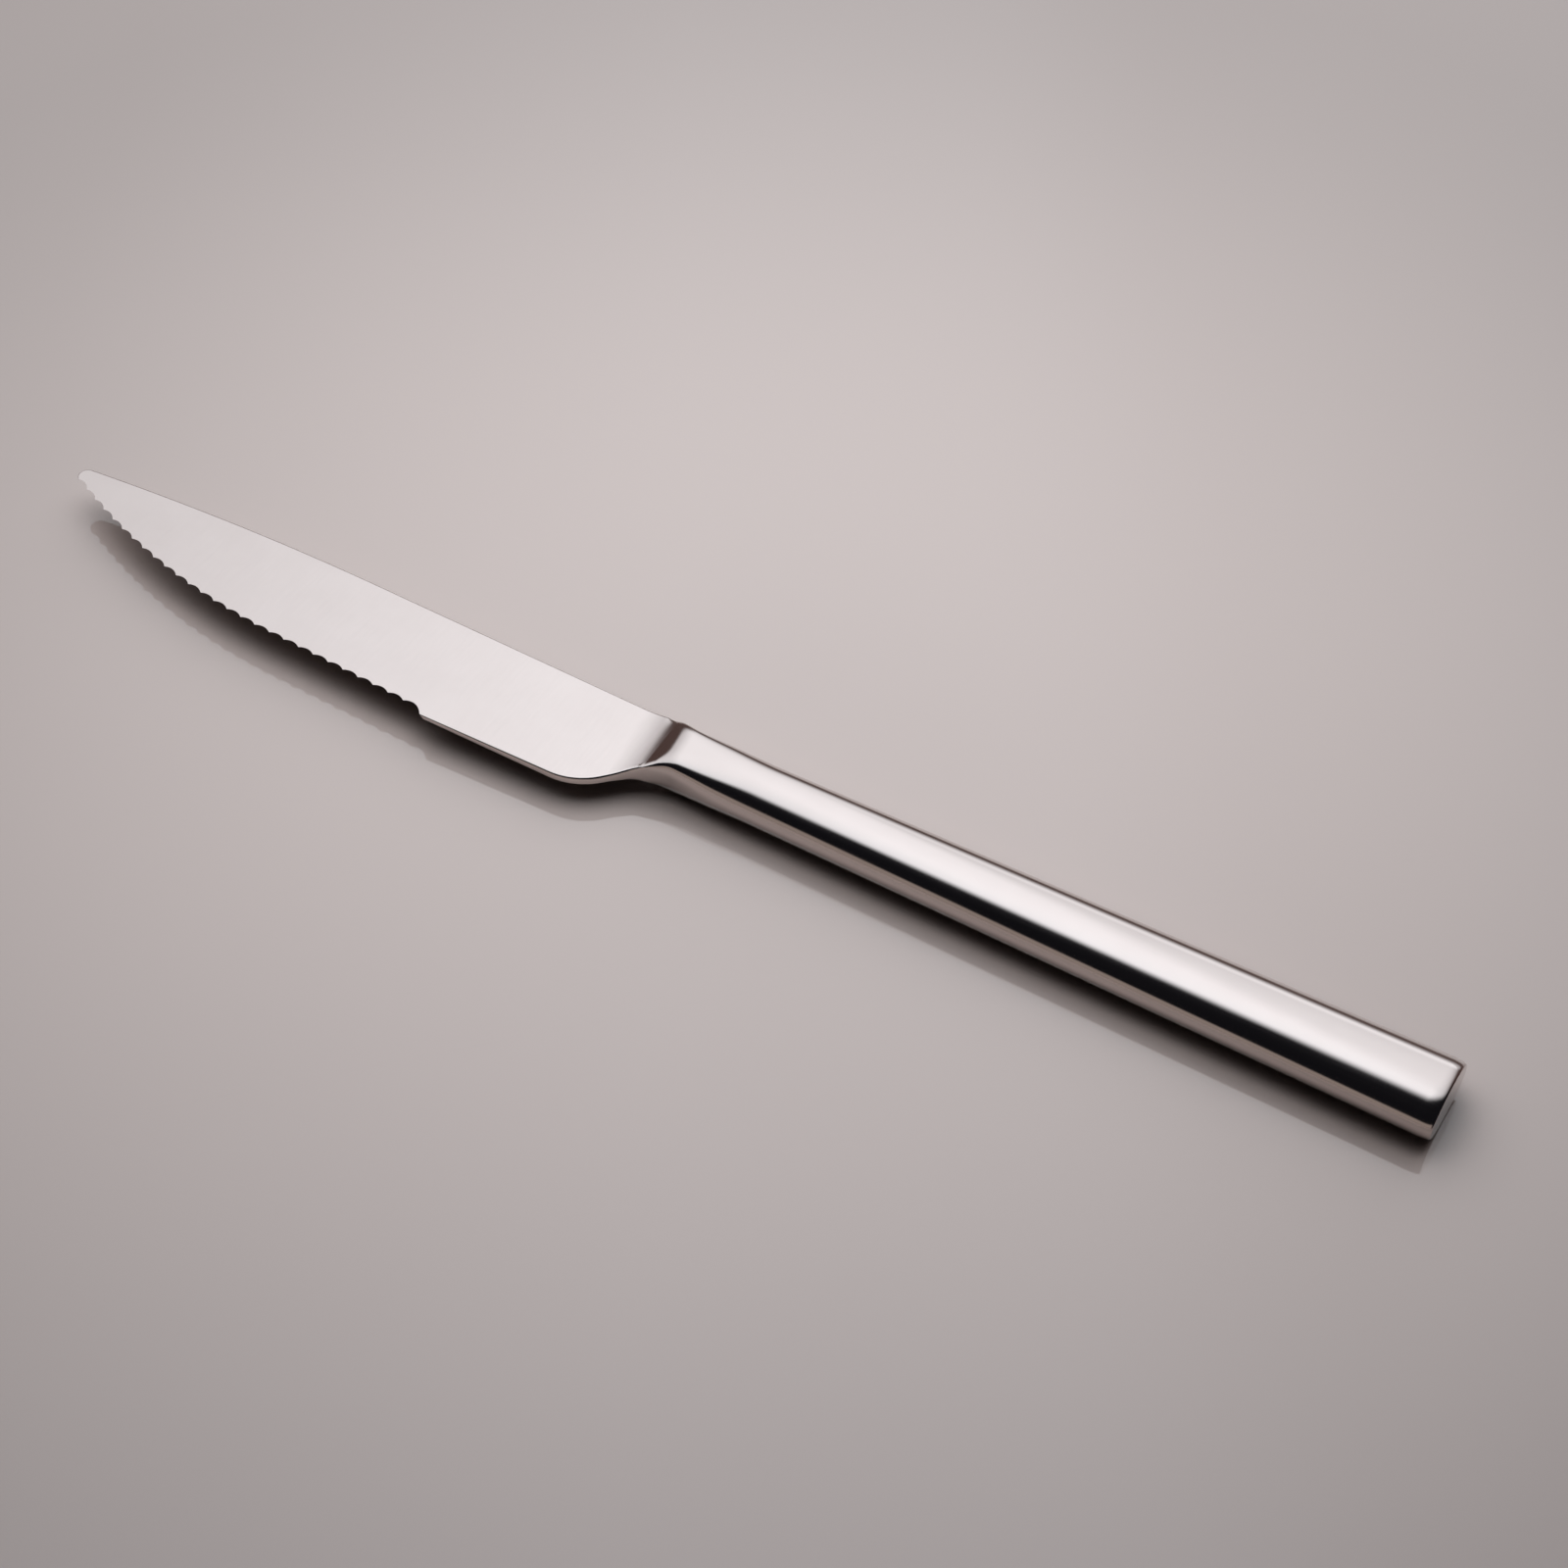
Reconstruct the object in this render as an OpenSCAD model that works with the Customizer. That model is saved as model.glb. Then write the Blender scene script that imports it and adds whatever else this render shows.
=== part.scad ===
// Steak knife with a serrated blade and a hollow steel handle, lying on its side.
// The origin is the middle of the flat on the handle's underside, on the surface
// the knife lies on. +X runs to the butt, the cutting edge faces -Y and +Z is up.
// Lengths are in millimetres.

/* [Handle] */
// Length of the handle from the blade's joint to the butt
handle_l = 123; // [100:0.1:140]
// Thickness of the handle, between its two flats
handle_t = 8.1; // [7.2:0.1:9.5]
// Thickness at the joint that the swelling of the handle starts from
neck_t = 6.8; // [6:0.1:7.2]
// Width of the handle at its waist, just behind the blade
waist_w = 9.1; // [8:0.1:9.6]
// Width of the handle where its shells start
shoulder_w = 10; // [9.4:0.1:10.8]
// Width of the handle at the butt
butt_w = 13.2; // [12:0.1:14.5]
// Distance of the waist from the blade's joint
waist_in = 4; // [3:0.1:6]
// Length behind the waist over which the handle widens to its straight taper
waist_out = 8; // [6:0.5:12]
// Radius of the sweep from the waist out to the blade
waist_r = 9; // [8:0.1:12]
// How far the two broad sides are ground flat
flat_trim = 0.07; // [0.04:0.01:0.2]
// Roundness of the handle's section, where 2 is an oval and more is squarer
section_power = 2.1; // [2:0.1:2.8]
// The same at the joint, where the section is nearly a rectangle
neck_power = 6; // [5:0.5:9]
// How soon the neck opens to the handle's full section, where 1 is evenly along the bolster
neck_opening = 1.5; // [1:0.1:2]
// Wall of the handle's half shells
wall = 0.8; // [0.6:0.05:1.2]
// Length of the solid bolster between the blade and the shells
bolster_l = 18; // [14:0.5:22]
// Length of the bolster's spigot inside the shells
spigot_l = 6; // [3:0.5:10]
// Thickness of the butt cap
cap_t = 2.6; // [2.3:0.1:3.6]
// Length of the cap's spigot inside the shells
cap_spigot_l = 4; // [2:0.5:8]
// Length along the handle of the oval rounding at the butt's edge
butt_edge_l = 2.1; // [1:0.1:2.2]
// Depth of that rounding
butt_edge_d = 0.45; // [0.2:0.05:0.8]
// Gap that the brazing metal fills around a spigot and the tang
braze_gap = 0.05; // [0.02:0.01:0.1]

/* [Blade] */
// Length of the blade from its joint to the tip
blade_l = 112; // [95:1:130]
// Thickness at the spine by the joint
spine_t = 1.9; // [1.6:0.05:2.4]
// Thickness at the cutting side by the joint
edge_t = 1.3; // [1:0.05:1.5]
// Thickness at the tip
tip_t = 0.9; // [0.7:0.05:1.3]
// Angle in degrees at which the blade rises towards its tip
blade_lift = 0.75; // [0:0.05:1.2]
// Offset of the spine from the handle's axis at the joint
neck_back = 5.1; // [4.6:0.05:5.3]
// How far the spine is drawn in towards the joint
spine_draw = 0.15; // [0.05:0.05:0.5]
// Length over which it is drawn in
spine_draw_l = 4; // [3:0.5:8]
// Length of the straight stretch of the spine
spine_straight = 52; // [40:1:70]
// How far the spine climbs over that stretch
spine_rise = 0.65; // [0:0.05:1.2]
// Offset of the tip's centre from the handle's axis, towards the spine
tip_y = 2.1; // [1:0.1:3]
// Radius of the rounded tip
tip_r = 1.5; // [0.8:0.1:2]
// Radius of the hollow that carries the blade's faces up to the handle
hollow_r = 13; // [11:0.1:15]
// Steepest angle in degrees of that sweep
ramp_angle = 29; // [27:0.5:31]
// Angle in degrees by which the sweep is askew, so that it starts earlier at the spine
ramp_skew = 6.8; // [0:0.1:10]
// Distance from the joint at which the sweep starts, on the handle's axis
ramp_in = 5.4; // [4.6:0.1:6.2]

/* [Cutting edge] */
// Length of the plain stretch between the joint and the teeth
plain_l = 35.4; // [30:0.1:42]
// How far the plain stretch stands proud of the teeth
plain_proud = 1; // [0.6:0.05:1.4]
// Angle in degrees of the plain stretch to the handle's axis
plain_rake = 1; // [0:0.1:3]
// Offset of the first tooth from the handle's axis
edge_y = 12; // [10.5:0.1:14]
// Length of the straight stretch of the toothed edge
edge_straight = 29; // [20:0.5:35]
// Angle in degrees of that stretch to the handle's axis
edge_rake = 2.25; // [1:0.05:4]
// Radius of the rounded heel below the neck
heel_r = 10; // [6:0.1:12]
// Slope in degrees of the heel between its two curves
heel_angle = 46; // [40:1:55]
// Distance from one tooth to the next
tooth_pitch = 2.87; // [2.4:0.01:4]
// Depth of the hollow between two teeth
bite_depth = 0.47; // [0.3:0.01:0.7]
// Angle in degrees of the bevel, ground on the underside only
bite_angle = 32; // [22:1:45]
// Metal beyond the teeth that the grinding takes off
edge_stock = 0.6; // [0.4:0.05:0.9]

/* [Tang] */
// Length of the tang behind the joint
tang_l = 70; // [40:1:90]
// Width of the tang where it passes through the bolster
tang_w = 6; // [5:0.1:6.4]
// Width of the tang at its far end
tang_end_w = 3.6; // [2.5:0.1:4.5]
// Thickness of the tang
tang_t = 1.5; // [1.2:0.05:1.6]
// Radius of the notches that key the tang in the cement
tang_notch_r = 0.8; // [0.5:0.05:1]
// Distance between two notches along the tang
tang_notch_pitch = 14; // [10:1:18]
// Number of notches on each side
tang_notches = 3; // [1:1:3]

/* [Hidden] */

// Overrun of every cut past the piece it cuts
over = 2;
// Points round a handle section, and steps along its curves
ring_n = 64;
shell_steps = 6;
bolster_steps = 6;
sweep_steps = 10;
ramp_steps = 9;
arc_steps = 18;
rounding_steps = 8;

// Places along the knife
mid_z = handle_t / 2;
joint_x = -handle_l / 2;
butt_x = handle_l / 2;
waist_x = joint_x + waist_in;
taper_x = waist_x + waist_out;
shell_x = joint_x + bolster_l;
cap_x = butt_x - cap_t;
cement_x = shell_x + spigot_l;
cement_end_x = cap_x - cap_spigot_l;
tip_x = joint_x - blade_l;
teeth_x = joint_x - plain_l;
spine_y = neck_back + spine_draw;

// Share of an easy bend that is done at a share of its length
function eased(share) = (1 - cos(180 * share)) / 2;

// Half width of the handle: a straight taper, drawn in at its front to the waist
function taper_w(x) =
    (shoulder_w + (butt_w - shoulder_w) * (x - shell_x) / (butt_x - shell_x)) / 2;
function half_w(x) =
    x < taper_x
        ? taper_w(x) - (taper_w(waist_x) - waist_w / 2) * eased((taper_x - x) / waist_out)
        : taper_w(x);

// Half widths towards the edge and the spine: ahead of the waist, an arc and an easy bend
function front_w(x) =
    x < waist_x
        ? waist_w / 2 + waist_r - sqrt(waist_r * waist_r - (waist_x - x) * (waist_x - x))
        : half_w(x);
function back_w(x) =
    x < waist_x
        ? waist_w / 2 + (neck_back - waist_w / 2) * eased((waist_x - x) / waist_in)
        : half_w(x);

// Roundness of the section, which opens from the neck's to the handle's along the bolster
function opened(share) = 1 - pow(1 - share, neck_opening);
function power(x) =
    x < shell_x
        ? 1 / (1 / neck_power + (1 / section_power - 1 / neck_power) * opened((x - joint_x) / bolster_l))
        : section_power;

// Half thickness of the handle, which swells along the bolster
function swell(x) =
    x < shell_x
        ? neck_t / 2 + (mid_z + flat_trim - neck_t / 2) * opened((x - joint_x) / bolster_l)
        : mid_z + flat_trim;

// Half thickness at a point of the plan: the blade's, swept up to the handle's
function half_t(x, y) =
    let (thin = spine_t / 2 - (spine_y - y) * tan(face_dip))
        thin + (swell(x) - thin) * lift(x - joint_x + ramp_in + y * tan(ramp_skew)) / ramp_rise;

// One end of the curve that makes a section: a signed power of a sine or cosine
function bowed(value, p) = sign(value) * pow(abs(value), 2 / p);

// The handle's section at x, drawn in from the outside by inset
function ring(x, inset) = [
    for (i = [0 : ring_n - 1])
        let (
            a = 360 * i / ring_n,
            side = cos(a) > 0 ? back_w(x) : front_w(x),
            y = (side - inset) * bowed(cos(a), power(x))
        )
            [x, y, mid_z + (half_t(x, y) - inset) * bowed(sin(a), power(x))]
];

function spread(x0, x1, steps) = [for (i = [0 : steps]) x0 + (x1 - x0) * i / steps];

// A smooth solid through handle sections, each given as [x, inset]
module loft(stations) {
    last = len(stations) - 1;
    points = [for (s = stations) each ring(s[0], s[1])];
    sides = [
        for (k = [0 : last - 1], i = [0 : ring_n - 1])
            let (a = k * ring_n + i, d = k * ring_n + (i + 1) % ring_n)
                each [[a, a + ring_n, d + ring_n], [a, d + ring_n, d]]
    ];
    front = [for (i = [0 : ring_n - 1]) i];
    back = [for (i = [0 : ring_n - 1]) last * ring_n + ring_n - 1 - i];
    polyhedron(points, concat([front, back], sides));
}

// The same, ground flat on the underside and on top
module flat_loft(stations) {
    intersection() {
        loft(stations);
        translate([joint_x - over, -butt_w, 0])
            cube([handle_l + 2 * over, 2 * butt_w, handle_t]);
    }
}

// A spigot inside the shells, through the given places along the handle
module spigot(places) {
    loft([for (x = places) [x, wall + braze_gap]]);
}

// Upper face: its height at a point of the plan, from spine to edge and joint to tip
blade_w = spine_y + edge_y;
face_dip = atan((spine_t - edge_t) / 2 / blade_w);
face_fall = atan((spine_t - tip_t) / 2 / blade_l);
upper_tilt = blade_lift - face_fall;
lower_tilt = blade_lift + face_fall;
function upper_z(p) =
    mid_z + spine_t / 2 + (joint_x - p[0]) * tan(upper_tilt)
    - (spine_y - p[1]) * tan(face_dip) / cos(upper_tilt);

// Sweep up to the handle: a hollow, then a rounded crest
ramp_rise = (neck_t - spine_t) / 2 + spine_y * tan(face_dip);
crest_r = ramp_rise / (1 - cos(ramp_angle)) - hollow_r;
ramp_run = (hollow_r + crest_r) * sin(ramp_angle);
// Height of the sweep at a length s from its start
function lift(s) =
    s < 0 ? 0
    : s < hollow_r * sin(ramp_angle) ? hollow_r - sqrt(hollow_r * hollow_r - s * s)
    : s < ramp_run ? ramp_rise - crest_r + sqrt(crest_r * crest_r - (ramp_run - s) * (ramp_run - s))
    : ramp_rise;
ramp_turns = [for (i = [0 : ramp_steps]) ramp_angle * i / ramp_steps];
hollow = [for (a = ramp_turns) [hollow_r * sin(a), hollow_r * (1 - cos(a))]];
crest = [for (a = ramp_turns) [ramp_run - crest_r * sin(a), ramp_rise - crest_r * (1 - cos(a))]];

// Space above a blade face: level over the blade, then swept up to the handle
module face_relief() {
    sweep = concat(hollow, [for (i = [ramp_steps - 1 : -1 : 0]) crest[i]]);
    far = -2 * blade_l;
    top = ramp_rise + handle_t;
    outline = concat([[far, 0]], sweep, [[ramp_run, top], [far, top]]);
    translate([-ramp_in - spine_y * tan(ramp_skew), 0, 0])
        rotate([90, 0, ramp_skew])
            linear_extrude(height = 2 * blade_l, center = true)
                polygon(outline);
}

// Both reliefs, in the tilt of their faces
module reliefs() {
    translate([joint_x, spine_y, mid_z + spine_t / 2])
        rotate([face_dip, upper_tilt, 0])
            face_relief();
    translate([joint_x, spine_y, mid_z - spine_t / 2])
        rotate([-face_dip, lower_tilt, 0])
            mirror([0, 0, 1])
                face_relief();
}

// Plan of the blade. Every arc runs smoothly into the straight or the round beside it.
function arc(centre, r, a0, a1, steps) = [
    for (i = [0 : steps])
        let (a = a0 + (a1 - a0) * i / steps)
            centre + r * [cos(a), sin(a)]
];
function heading(v) = atan2(v[1], v[0]);
// Radius of an arc that leaves point p along normal n and closes round the tip
function closing_r(p, n) =
    (tip_r * tip_r - (p - tip) * (p - tip)) / (2 * (n * (p - tip) + tip_r));

tip = [tip_x + tip_r, tip_y];

spine_slope = atan(spine_rise / spine_straight);
spine_start = [joint_x - spine_draw_l, spine_y];
spine_end = spine_start + [-spine_straight, spine_rise];
spine_n = [-sin(spine_slope), -cos(spine_slope)];
spine_r = closing_r(spine_end, spine_n);
spine_c = spine_end + spine_r * spine_n;
spine_a = heading(tip - spine_c);

teeth_start = [teeth_x, -edge_y];
edge_dir = [-cos(edge_rake), sin(edge_rake)];
edge_n = [sin(edge_rake), cos(edge_rake)];
edge_end = teeth_start + edge_straight * edge_dir;
edge_r = closing_r(edge_end, edge_n);
edge_c = edge_end + edge_r * edge_n;
edge_a0 = 270 - edge_rake;
edge_a1 = heading(tip - edge_c) + 360;
edge_l = edge_straight + edge_r * (edge_a0 - edge_a1) * PI / 180;
// Turn of the round tip's arc short of the two arcs that it joins
tip_step = (edge_a1 - spine_a) / arc_steps;

// Outward direction, and point, of the line of the teeth at length s from its heel end
function tooth_a(s) = edge_a0 - max(0, s - edge_straight) / edge_r * 180 / PI;
function tooth_out(s) = [cos(tooth_a(s)), sin(tooth_a(s))];
function tooth_at(s) =
    s < edge_straight ? teeth_start + s * edge_dir : edge_c + edge_r * tooth_out(s);

bites = floor(edge_l / tooth_pitch);
stock_line = [
    for (i = [bites : -1 : 0])
        let (s = i * tooth_pitch)
            tooth_at(s) + edge_stock * (1 - s / edge_l) * tooth_out(s)
];

// Plain edge, heel and the sweep up to the waist
plain_start = [teeth_x, -edge_y - plain_proud];
plain_n = [-sin(plain_rake), cos(plain_rake)];
waist_c = [waist_x, -waist_w / 2 - waist_r];
slant_top = waist_c + waist_r * [-sin(heel_angle), cos(heel_angle)];
slant_turn = heel_angle - plain_rake;
slant_l = (plain_n * (slant_top - plain_start) - heel_r * (1 - cos(slant_turn))) / sin(slant_turn);
slant_low = slant_top - slant_l * [cos(heel_angle), sin(heel_angle)];
heel_c = slant_low + heel_r * [-sin(heel_angle), cos(heel_angle)];

module blade_plan() {
    polygon(concat(
        [[joint_x, neck_back], spine_start],
        arc(spine_c, spine_r, 90 - spine_slope, spine_a, arc_steps),
        arc(tip, tip_r, spine_a + tip_step, edge_a1 - tip_step, arc_steps),
        stock_line,
        [plain_start],
        arc(heel_c, heel_r, plain_rake - 90, heel_angle - 90, arc_steps),
        arc(waist_c, waist_r, 90 + heel_angle, 90 + asin(waist_in / waist_r), arc_steps)
    ));
}

// The grinding wheel's path for one hollow between two teeth
wheel_r = pow(tooth_pitch / 2, 2) / (2 * bite_depth * sin(bite_angle));
wheel_l = 2 * (spine_t + plain_proud + over) / sin(bite_angle);
module bite(s) {
    out = tooth_out(s);
    deepest = tooth_at(s) - bite_depth * out;
    translate([deepest[0], deepest[1], upper_z(deepest)])
        rotate([0, 0, heading(out)])
            translate([wheel_r * sin(bite_angle), 0, -wheel_r * cos(bite_angle)])
                rotate([0, 90 - bite_angle, 0])
                    cylinder(r = wheel_r, h = wheel_l, center = true, $fn = 96);
}

// Tang, widened all round by gap where it is used to cut its slot
module tang(gap) {
    root_x = joint_x - ramp_in / 2;
    end_x = joint_x + tang_l;
    half = tang_w / 2 + gap;
    end_half = tang_end_w / 2 + gap;
    difference() {
        translate([0, 0, mid_z - tang_t / 2 - gap])
            linear_extrude(height = tang_t + 2 * gap)
                polygon([
                    [root_x, -half], [cement_x, -half], [end_x, -end_half],
                    [end_x, end_half], [cement_x, half], [root_x, half]
                ]);
        for (i = [1 : tang_notches], side = [-1, 1]) {
            x = cement_x + i * tang_notch_pitch - tang_notch_pitch / 2;
            y = half + (end_half - half) * (x - cement_x) / (end_x - cement_x);
            translate([x, side * y, mid_z])
                cylinder(r = tang_notch_r, h = handle_t, center = true, $fn = 32);
        }
    }
}

module blade() {
    color([0.82, 0.82, 0.83]) {
        difference() {
            linear_extrude(height = handle_t) blade_plan();
            reliefs();
            for (i = [0 : bites - 1]) bite((i + 0.5) * tooth_pitch);
        }
        tang(0);
    }
}

module bolster() {
    crest_x = joint_x + ramp_run - ramp_in + waist_w * tan(ramp_skew);
    rear = spread(crest_x, shell_x, bolster_steps);
    run = concat(spread(joint_x, crest_x, sweep_steps), [for (i = [1 : bolster_steps]) rear[i]]);
    color([0.78, 0.78, 0.79])
        difference() {
            union() {
                flat_loft([for (x = run) [x, 0]]);
                spigot([shell_x - over, shell_x, cement_x]);
            }
            tang(braze_gap);
        }
}

// The room inside the shells, running out past both of their ends
module cavity() {
    run = concat([shell_x - over], spread(shell_x, cap_x, shell_steps), [cap_x + over]);
    loft([for (x = run) [x, wall]]);
}

// The closed tube that the two half shells make between bolster and cap
module shell_tube() {
    difference() {
        flat_loft([for (x = spread(shell_x, cap_x, shell_steps)) [x, 0]]);
        cavity();
    }
}

module half_space() {
    translate([joint_x, -butt_w, 0])
        cube([handle_l, 2 * butt_w, mid_z]);
}

module upper_shell() {
    color([0.80, 0.80, 0.81])
        difference() {
            shell_tube();
            half_space();
        }
}

module lower_shell() {
    color([0.74, 0.74, 0.75])
        intersection() {
            shell_tube();
            half_space();
        }
}

module butt_cap() {
    round_x = butt_x - butt_edge_l;
    rounding = [
        for (i = [0 : rounding_steps])
            let (a = 90 * i / rounding_steps)
                [round_x + butt_edge_l * sin(a), butt_edge_d * (1 - cos(a))]
    ];
    color([0.76, 0.76, 0.77])
        union() {
            flat_loft(concat([[cap_x, 0]], rounding));
            spigot([cement_end_x, cap_x, cap_x + cap_t / 2]);
        }
}

module tang_cement() {
    color([0.62, 0.60, 0.56])
        difference() {
            intersection() {
                cavity();
                translate([cement_x, -butt_w, 0])
                    cube([cement_end_x - cement_x, 2 * butt_w, handle_t]);
            }
            tang(0);
        }
}

blade();
bolster();
upper_shell();
lower_shell();
butt_cap();
tang_cement();
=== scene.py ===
import math

import bpy
import numpy as np
from mathutils import Matrix, Vector


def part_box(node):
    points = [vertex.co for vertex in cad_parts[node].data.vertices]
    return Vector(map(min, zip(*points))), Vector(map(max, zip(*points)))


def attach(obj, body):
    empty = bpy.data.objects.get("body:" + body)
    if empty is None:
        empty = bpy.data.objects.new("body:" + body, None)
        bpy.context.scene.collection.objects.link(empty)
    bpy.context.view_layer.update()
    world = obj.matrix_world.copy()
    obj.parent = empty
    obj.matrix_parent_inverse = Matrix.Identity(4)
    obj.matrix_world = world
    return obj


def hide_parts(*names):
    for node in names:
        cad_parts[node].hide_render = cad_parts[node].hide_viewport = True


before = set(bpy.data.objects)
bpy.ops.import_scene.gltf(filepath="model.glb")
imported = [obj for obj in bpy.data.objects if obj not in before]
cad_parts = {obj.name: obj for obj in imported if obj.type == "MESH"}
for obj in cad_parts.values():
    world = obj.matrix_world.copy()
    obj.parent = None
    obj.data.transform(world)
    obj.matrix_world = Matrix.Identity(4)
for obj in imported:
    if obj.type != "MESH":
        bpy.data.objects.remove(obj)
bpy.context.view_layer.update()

scene = bpy.context.scene

# Lengths are in millimetres and become metres where a mesh or a stage object is made.
mm = 0.001


def corner(node, end):
    """Lowest (0) or highest (1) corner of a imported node."""
    return np.array(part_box(node)[end]) / mm


# Places along the knife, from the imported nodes
tip_x = corner("blade", 0)[0]
joint_x = corner("bolster", 0)[0]
shell_x = corner("upper_shell", 0)[0]
cap_x = corner("upper_shell", 1)[0]
butt_x = corner("butt_cap", 1)[0]
cement_x = corner("tang_cement", 0)[0]
cement_end_x = corner("tang_cement", 1)[0]
handle_t = corner("upper_shell", 1)[2]
mid_z = handle_t / 2

# Handle, as in the part's source
neck_t = 6.8
waist_w = 9.1
shoulder_w = 10
butt_w = 13.2
waist_in = 4
waist_out = 8
waist_r = 9
section_power = 2.1
neck_power = 6
neck_opening = 1.5
wall = 0.8
butt_edge_l = 2.1
butt_edge_d = 0.45
braze_gap = 0.05
waist_x = joint_x + waist_in
taper_x = waist_x + waist_out

# Blade, as in the part's source
spine_t = 1.9
edge_t = 1.3
tip_t = 0.9
blade_lift = math.radians(0.75)
neck_back = 5.1
spine_draw = 0.15
spine_draw_l = 4
spine_straight = 52
spine_rise = 0.65
tip_y = 2.1
tip_r = 1.5
hollow_r = 13
ramp_angle = math.radians(29)
ramp_skew = math.radians(6.8)
ramp_in = 5.4
plain_l = 35.4
plain_proud = 1
plain_rake = math.radians(1)
edge_y = 12
edge_straight = 29
edge_rake = math.radians(2.25)
heel_r = 10
heel_angle = math.radians(46)
tooth_pitch = 2.87
bite_depth = 0.47
bite_angle = math.radians(32)
tang_l = 70
tang_w = 6
tang_end_w = 3.6
tang_t = 1.5
tang_notch_r = 0.8
tang_notch_pitch = 14
tang_notches = 3

# Finish of the joint: a squarer section on the edge's side, and the length over which the polish
# blends it away on either side of the joint
joint_power = 14
joint_l = 2.5

# Soft edges that the finish gives the steel: along the spine, the heel, and beside the teeth
spine_edge_r = 0.38
heel_edge_r = 0.36
plain_edge_r = 0.2
tooth_edge_r = 0.03
# Height of the rounding under the plain edge, at the heel and beside the teeth
heel_under_r = 0.14
plain_under_r = 0.5
# Flat rim laid inside each rounding, which keeps the flat beside it true
flat_rim = 0.05

# Points round a handle section, and steps along curves
ring_n = 320
profile_n = 20 * ring_n
shell_points = 160
shell_rows = 24
sweep_rows = 90
bolster_rows = 34
ramp_rows = 44
ramp_points = 24
arc_steps = 60
round_steps = 6
butt_round_steps = 4 * round_steps
edge_levels = 2 * round_steps + 4
wheel_sides = 96

# Length of the blade's root that has fine rows, and a last narrow row in front of them
root_l = 6.2
ramp_rim = 0.3
# Side of the flat sheet that a shell is bent from, and a short step for reading a slope
sheet_side = 1.0
probe_l = 1
# Largest bend that is shaded smooth
smooth_angle = math.radians(28)
# How nearly a point of a shell fits the section's equation to count as on the outer skin
skin_tolerance = 0.001
# Keeps a length of zero from being a divisor
tiny = 1e-12


# Meshes

def add_object(name, mesh):
    made = bpy.data.objects.new(name, mesh)
    scene.collection.objects.link(made)
    return made


def soft_shaded(mesh):
    mesh.shade_smooth()
    mesh.set_sharp_from_angle(angle=smooth_angle)


def mesh_piece(name, points, faces, material):
    """A closed mesh from points in millimetres."""
    mesh = bpy.data.meshes.new(name)
    mesh.from_pydata((np.asarray(points) * mm).tolist(), [], faces)
    mesh.materials.append(material)
    soft_shaded(mesh)
    return add_object(name, mesh)


def settle(piece):
    """Turns what the modifiers make of a piece into its plain mesh."""
    graph = bpy.context.evaluated_depsgraph_get()
    mesh = bpy.data.meshes.new_from_object(piece.evaluated_get(graph), depsgraph=graph)
    mesh.name = piece.name
    piece.modifiers.clear()
    piece.data = mesh
    soft_shaded(mesh)


def carve(piece, tool, operation):
    """Cuts a tool out of a piece, or joins it on, and removes the tool."""
    cut = piece.modifiers.new("carve", "BOOLEAN")
    cut.operation = operation
    cut.solver = "EXACT"
    cut.object = tool
    settle(piece)
    bpy.data.objects.remove(tool)


def loft_faces(rows, count):
    """Quads between closed rings of count points, which follow each other along +X."""
    start = np.arange(rows - 1)[:, None] * count
    a = start + np.arange(count)
    d = start + (np.arange(count) + 1) % count
    return np.stack([a, d, d + count, a + count], -1).reshape(-1, 4).tolist()


# Node trees

def feed(tree, value, socket):
    if isinstance(value, bpy.types.NodeSocket):
        tree.links.new(value, socket)
    else:
        socket.default_value = value


def add_node(tree, kind, inputs=(), **settings):
    node = tree.nodes.new(kind)
    for name, value in settings.items():
        setattr(node, name, value)
    for name, value in dict(inputs).items():
        feed(tree, value, node.inputs[name])
    return node


def add_math(tree, operation, *values):
    node = tree.nodes.new("ShaderNodeMath")
    node.operation = operation
    for value, socket in zip(values, node.inputs):
        feed(tree, value, socket)
    return node.outputs[0]


def shape_tree(name, sizes):
    """A Geometry Nodes tree with a geometry input, a steel input and named sizes."""
    tree = bpy.data.node_groups.new(name, "GeometryNodeTree")
    tree.is_modifier = True
    tree.interface.new_socket("Geometry", in_out="INPUT", socket_type="NodeSocketGeometry")
    for size, value in sizes.items():
        kind = "NodeSocketInt" if isinstance(value, int) else "NodeSocketFloat"
        tree.interface.new_socket(size, in_out="INPUT", socket_type=kind)
    tree.interface.new_socket("Steel", in_out="INPUT", socket_type="NodeSocketMaterial")
    tree.interface.new_socket("Geometry", in_out="OUTPUT", socket_type="NodeSocketGeometry")
    return tree, add_node(tree, "NodeGroupInput").outputs


def end_tree(tree, geometry, steel):
    whole = add_node(tree, "GeometryNodeRealizeInstances", {"Geometry": geometry}).outputs[0]
    clad = add_node(tree, "GeometryNodeSetMaterial", {"Geometry": whole, "Material": steel}).outputs[0]
    feed(tree, clad, add_node(tree, "NodeGroupOutput").inputs[0])


def run_tree(piece, tree, sizes, steel):
    """Puts the tree on a piece, each input set by its identifier."""
    shaper = piece.modifiers.new(tree.name, "NODES")
    shaper.node_group = tree
    values = dict(sizes, Steel=steel)
    for item in tree.interface.items_tree:
        if item.in_out == "INPUT" and item.name in values:
            shaper[item.identifier] = values[item.name]


# Thickness: the blade's, swept up to the handle's by a hollow and a rounded crest

spine_y = neck_back + spine_draw
blade_w = spine_y + edge_y
blade_l = joint_x - tip_x
face_dip = math.atan((spine_t - edge_t) / 2 / blade_w)
face_fall = math.atan((spine_t - tip_t) / 2 / blade_l)
ramp_rise = (neck_t - spine_t) / 2 + spine_y * math.tan(face_dip)
crest_r = ramp_rise / (1 - math.cos(ramp_angle)) - hollow_r
ramp_run = (hollow_r + crest_r) * math.sin(ramp_angle)


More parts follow.
